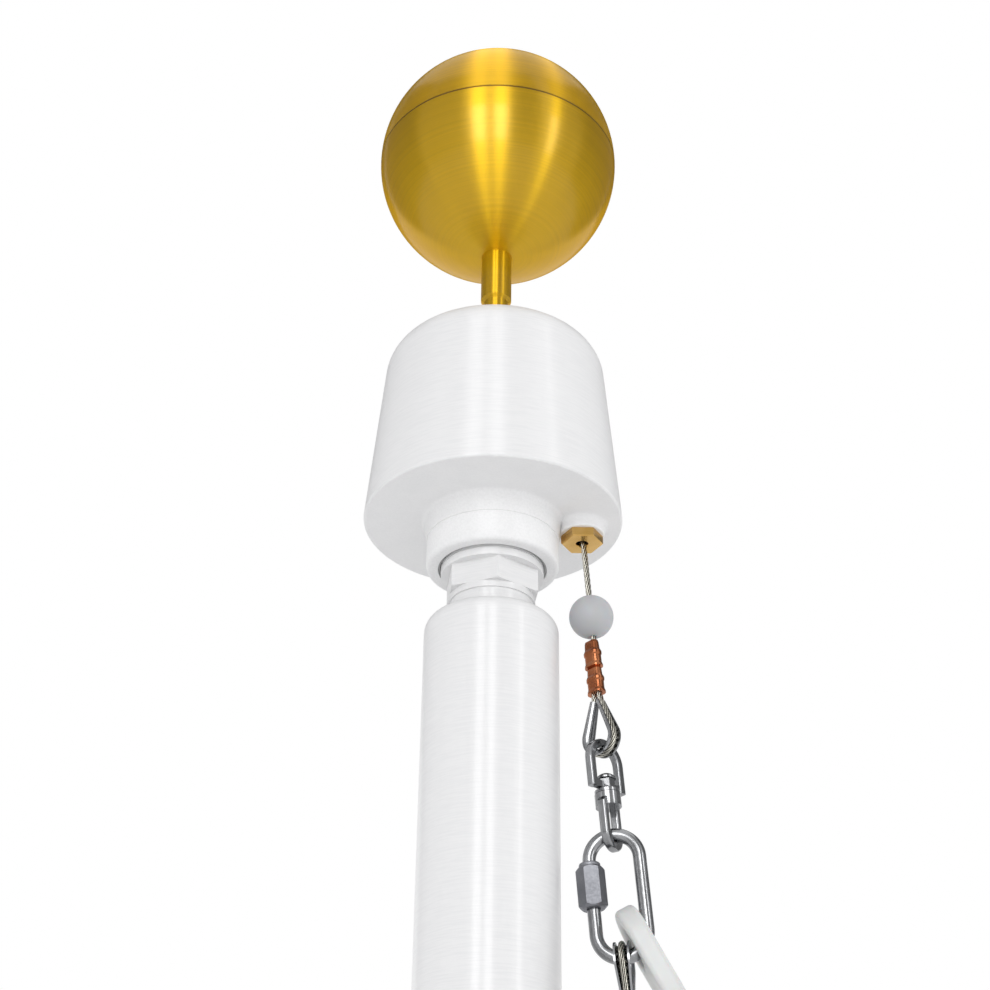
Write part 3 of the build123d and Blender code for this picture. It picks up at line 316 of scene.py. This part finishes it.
# Colours from dark to light, then roughness from low to high
finishes = {
    "shaft": white_turned("white_shaft", 0.8),
    "spindle": white_turned("white_spindle", 0.78),
    "truck": cast_below(white_turned("white_truck", 0.8), RIM_LEVEL),
    "gold": gold_turned("gold_spun", 0.38, 0.46),
    "gold_upper": gold_turned("gold_spun_upper", 0.52, 0.62),
    "brass": plated("brass", (0.56, 0.33, 0.085), (0.8, 0.53, 0.2), 0.14, 0.22),
    "copper": plated("copper", (0.3, 0.095, 0.04), (0.52, 0.2, 0.09), 0.12, 0.24),
    "zinc": plated("zinc", (0.24, 0.245, 0.25), (0.4, 0.405, 0.415), 0.12, 0.24),
    "nut_zinc": plated("nut_zinc", (0.2, 0.205, 0.225), (0.32, 0.325, 0.35), 0.42, 0.6, grain=1100),
    # The rope's near-black colour is painted shade for the grooves between its strands
    "rope": stranded("rope_wire", (0.012, 0.012, 0.01), (0.6, 0.58, 0.51), 0.22, 0.34),
    # Painted shade: the seal's mid grey, darker than the white ring it stands for, shows the shade
    # of the gap round the spindle
    "seal": moulded("seal_grey_gap_shade", grey(0.33), grey(0.4), 0.4, 0.55, depth=0.0),
    "bead": moulded("bead_plastic", (0.42, 0.43, 0.445), (0.46, 0.47, 0.485), 0.5, 0.65, depth=0.3),
    "nylon": moulded("white_nylon", (0.63, 0.64, 0.63), (0.68, 0.69, 0.68), 0.34, 0.46, depth=0.15),
}
finished_nodes = {
    "shaft": ["pole_shaft"],
    "spindle": ["spindle"],
    "truck": ["truck_housing"],
    "gold": ["finial_stem", "finial_ball_lower"],
    "gold_upper": ["finial_ball_upper"],
    "brass": ["halyard_bushing"],
    "copper": [
        "halyard_upper_sleeve",
        "halyard_lower_sleeve",
        "sling_sleeve_1",
        "sling_sleeve_2",
        "sling_sleeve_3",
        "sling_sleeve_4",
    ],
    "zinc": [
        "truck_bearing",
        "halyard_thimble",
        "swivel_bow",
        "swivel_eye",
        "quick_link",
        "sling_upper_thimble",
        "sling_lower_thimble",
    ],
    "nut_zinc": ["link_nut"],
    "rope": ["halyard_rope", "sling_rope"],
    "seal": ["hub_seal"],
    "bead": ["stop_bead"],
    "nylon": ["snap_body", "snap_tongue"],
}
for finish, node_names in finished_nodes.items():
    for node_name in node_names:
        slots = nodes[node_name].data.materials
        slots.clear()
        slots.append(finishes[finish].material)


# Wire rope: six twisted strands round a core, laid along the solid rope's own run
ROPE_RADIUS = 1.4 * MM
ROPE_LAY = 18.5 * MM
ROPE_STEP = 0.5 * MM
ROPE_LEG = 1.6 * MM
ROPE_BEND = 12.0 * MM
ROPE_TAIL = 28.653 * MM
ROPE_HIDDEN = 52.0 * MM
STRANDS = 6
SIDES = 10
EYE_HEIGHT = 20.3 * MM
EYE_RADIUS = 7.65 * MM
BUSHING_MIDDLE = Vector((43.2, 0, 522.1)) * MM
MOUTH_BELOW_MIDDLE = 9.3 * MM
CHAIN_LEAN = radians(4.5)
CHAIN_UP = Vector((-sin(CHAIN_LEAN), 0, cos(CHAIN_LEAN)))

# Places along the chain, below the bushing's mouth, and azimuths round it, 0 outwards
HALYARD_CROWN = 101.253 * MM
HALYARD_AZIMUTH = radians(-47)
SLING_UPPER_CROWN = 205.446 * MM
SLING_LOWER_CROWN = 317.353 * MM
SLING_AZIMUTH = radians(78)
SLING_SHIFT = -0.4 * MM
SLING_SHIFT_AZIMUTH = radians(-12)


def line_points(start, end):
    count = max(2, int((end - start).length / ROPE_STEP))
    return [start.lerp(end, i / count) for i in range(count)]


def arc_points(centre, radius, start, sweep):
    count = max(2, int(abs(sweep) * radius / ROPE_STEP))
    angles = [start + sweep * i / count for i in range(count)]
    return [centre + Vector((cos(a), sin(a))) * radius for a in angles]


def eye_run(far):
    """Flat run of a rope round a thimble: down one leg from far, round the crown and up the tail."""
    reach = hypot(ROPE_LEG, EYE_HEIGHT)
    lean = asin(EYE_RADIUS / reach) - atan2(ROPE_LEG, EYE_HEIGHT)
    top = EYE_HEIGHT + ROPE_BEND * tan(lean / 2)
    tail = EYE_HEIGHT + ROPE_TAIL
    foot = Vector((EYE_RADIUS * cos(lean), EYE_RADIUS * sin(lean)))
    bend_middle = Vector((ROPE_LEG + ROPE_BEND, top))
    bend_end = bend_middle + Vector((-cos(lean), -sin(lean))) * ROPE_BEND
    right = arc_points(bend_middle, ROPE_BEND, pi, lean) + line_points(bend_end, foot)
    left = [Vector((-p.x, p.y)) for p in reversed(right)]
    start = line_points(Vector((ROPE_LEG, far)), Vector((ROPE_LEG, top)))
    crown = arc_points(Vector((0, 0)), EYE_RADIUS, lean, -pi - 2 * lean)
    end = line_points(Vector((-ROPE_LEG, top)), Vector((-ROPE_LEG, tail)))
    return start + right + crown + left + end


def strand_ring(form, crest, middle, outward, across, length):
    """Corners of each strand, with the core last, in one cut across the rope."""
    ring = []
    for strand in range(STRANDS + 1):
        wound = 2 * pi * (strand / STRANDS + length / ROPE_LAY)
        offset = outward * cos(wound) + across * sin(wound)
        reach = 0 if strand == STRANDS else ROPE_RADIUS * 2 / 3
        corners = []
        for corner in range(SIDES):
            round_strand = 2 * pi * corner / SIDES
            angle = wound + round_strand
            edge = outward * cos(angle) + across * sin(angle)
            vertex = form.verts.new(middle + offset * reach + edge * ROPE_RADIUS / 3)
            # crest is 1 on a strand's outer side and 0 on its inner side and on the core; it drives
            # the painted groove shade
            vertex[crest] = 0.5 + 0.5 * cos(round_strand) if reach else 0
            corners.append(vertex)
        ring.append(corners)
    return ring


def strand_mesh(name, points, sideways, upward, origin):
    """Mesh of the strands along a flat run, placed by the plane's origin and its two directions."""
    across = sideways.cross(upward)
    form = bmesh.new()
    crest = form.verts.layers.float.new("crest")
    length = 0.0
    rings = []
    for i, point in enumerate(points):
        before, after = points[max(i - 1, 0)], points[min(i + 1, len(points) - 1)]
        along = (after - before).normalized()
        length += (point - before).length
        middle = origin + sideways * point.x + upward * point.y
        outward = sideways * -along.y + upward * along.x
        rings.append(strand_ring(form, crest, middle, outward, across, length))
    for first, second in zip(rings, rings[1:]):
        for one, two in zip(first, second):
            for k in range(SIDES):
                m = (k + 1) % SIDES
                form.faces.new((one[k], one[m], two[m], two[k])).smooth = True
    for ends in (rings[0], rings[-1]):
        for corners in ends:
            form.faces.new(corners)
    bmesh.ops.recalc_face_normals(form, faces=form.faces)
    return add_piece(name, form, finishes["rope"].material)


def chain_across(azimuth):
    """Direction square to the leaning chain at an azimuth, 0 outwards."""
    outward = Vector((cos(CHAIN_LEAN), 0, sin(CHAIN_LEAN)))
    return outward * cos(azimuth) + Vector((0, 1, 0)) * sin(azimuth)


halyard_side = chain_across(HALYARD_AZIMUTH)
chain_mouth = BUSHING_MIDDLE - CHAIN_UP * MOUTH_BELOW_MIDDLE - halyard_side * ROPE_LEG
halyard = strand_mesh(
    "halyard_strands",
    eye_run(HALYARD_CROWN + ROPE_HIDDEN),
    halyard_side,
    CHAIN_UP,
    chain_mouth - CHAIN_UP * HALYARD_CROWN,
)
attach(halyard, "halyard")
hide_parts("halyard_rope")

sling_span = SLING_LOWER_CROWN - SLING_UPPER_CROWN
upper_half = eye_run(sling_span / 2)
lower_half = [Vector((p.x, sling_span - p.y)) for p in upper_half[1:]]
sling_shift = chain_across(SLING_SHIFT_AZIMUTH) * SLING_SHIFT
sling = strand_mesh(
    "sling_strands",
    list(reversed(upper_half)) + lower_half,
    chain_across(SLING_AZIMUTH),
    -CHAIN_UP,
    chain_mouth - CHAIN_UP * SLING_UPPER_CROWN + sling_shift,
)
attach(sling, "sling")
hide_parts("sling_rope")


# Studio: white surroundings, a pale floor, soft boxes and grey flats
WORLD_LIGHT = (0.49, 0.49, 0.5, 1.0)
BACKDROP = (1.0, 1.0, 1.0, 1.0)
LAMP_AIM = Vector((0, 0, 0.55))
FLAT_DISTANCE = 2.6
FLOOR_RADIUS = 2.2

# Name, azimuth in degrees, height, distance, size, power
SOFT_BOXES = (
    ("front_left_box", -17, 0.85, 2.4, (0.5, 1.5), 11.5),
    ("front_box", 2, 0.85, 2.4, (0.46, 1.5), 10.5),
    ("right_strip", 50, 0.85, 2.4, (0.3, 1.5), 5.0),
)
FILLS = (
    ("top_fill", 0, 3.2, 0.0, (3.0, 3.0), 16),
    ("side_fill", -105, 1.2, 2.3, (2.6, 2.4), 19),
    ("side_fill", 105, 1.2, 2.3, (2.6, 2.4), 26),
)
# Name, azimuth in degrees, size, tone, height of the lower edge
GREY_FLATS = (
    ("flat_front_left", -52, (2.0, 5.2), 0.6, 0.0),
    ("flat_gap", 25, (1.2, 5.2), 0.5, 0.0),
    ("flat_front_right", 67, (1.3, 5.2), 0.6, 0.0),
    ("flat_left", -105, (3.0, 5.2), 0.3, 0.0),
    ("flat_right", 108, (3.0, 5.2), 0.28, 0.0),
    ("flat_back", 180, (4.4, 3.6), 0.1, 1.8),
)


def rays_as_backdrop(tree):
    """1 for camera, mirror and see-through rays, 0 for rays that light the object."""
    path = tree.nodes.new("ShaderNodeLightPath")
    seen = path.outputs["Is Camera Ray"]
    for name in ("Is Glossy Ray", "Is Transmission Ray"):
        node = tree.nodes.new("ShaderNodeMath")
        node.operation = "MAXIMUM"
        tree.links.new(seen, node.inputs[0])
        tree.links.new(path.outputs[name], node.inputs[1])
        seen = node.outputs[0]
    return seen


def place_round_pole(azimuth, distance, height):
    """Place in the studio at an azimuth in degrees seen from above, 0 in front of the object."""
    angle = radians(azimuth)
    return Vector((sin(angle) * distance, -cos(angle) * distance, height))


def soft_box(name, azimuth, height, distance, size, power):
    """Area lamp aimed at the pole's axis."""
    data = bpy.data.lights.new(name, "AREA")
    data.shape = "RECTANGLE"
    data.size, data.size_y = size
    data.energy = power
    lamp = bpy.data.objects.new(name, data)
    place = place_round_pole(azimuth, distance, height)
    aim = (LAMP_AIM - place).to_track_quat("-Z", "Y").to_matrix().to_4x4()
    lamp.matrix_world = Matrix.Translation(place) @ aim
    scene.collection.objects.link(lamp)
    return lamp


def grey_flat(name, azimuth, size, tone, foot):
    """Studio flat that only mirrors see, so that metal keeps dark edges from every side."""
    form = bmesh.new()
    bmesh.ops.create_grid(form, x_segments=1, y_segments=1, size=0.5)
    flat = add_piece(name, form, speckled(name, tone, tone * 1.1, 30, 0.9).material)
    height = foot + size[1] / 2
    place = place_round_pole(azimuth, FLAT_DISTANCE, height)
    aim = (Vector((0, 0, height)) - place).to_track_quat("Z", "Y").to_matrix().to_4x4()
    flat.matrix_world = Matrix.Translation(place) @ aim @ Matrix.Diagonal((*size, 1, 1))
    flat.visible_camera = False
    flat.visible_diffuse = False
    flat.visible_shadow = False


world = bpy.data.worlds.new("studio")
scene.world = world
world.use_nodes = True
tree = world.node_tree
backdrop_mix = tree.nodes.new("ShaderNodeMix")
backdrop_mix.data_type = "RGBA"
backdrop_mix.inputs[6].default_value = WORLD_LIGHT
backdrop_mix.inputs[7].default_value = BACKDROP
tree.links.new(rays_as_backdrop(tree), backdrop_mix.inputs["Factor"])
tree.links.new(backdrop_mix.outputs[2], tree.nodes["Background"].inputs["Color"])

for box in SOFT_BOXES:
    soft_box(*box)
for fill in FILLS:
    soft_box(*fill).visible_glossy = False
for flat in GREY_FLATS:
    grey_flat(*flat)

floor_form = bmesh.new()
bmesh.ops.create_circle(floor_form, cap_ends=True, segments=128, radius=FLOOR_RADIUS)
floor = add_piece("floor", floor_form, speckled("floor", 0.91, 0.93, 40, 0.7).material)
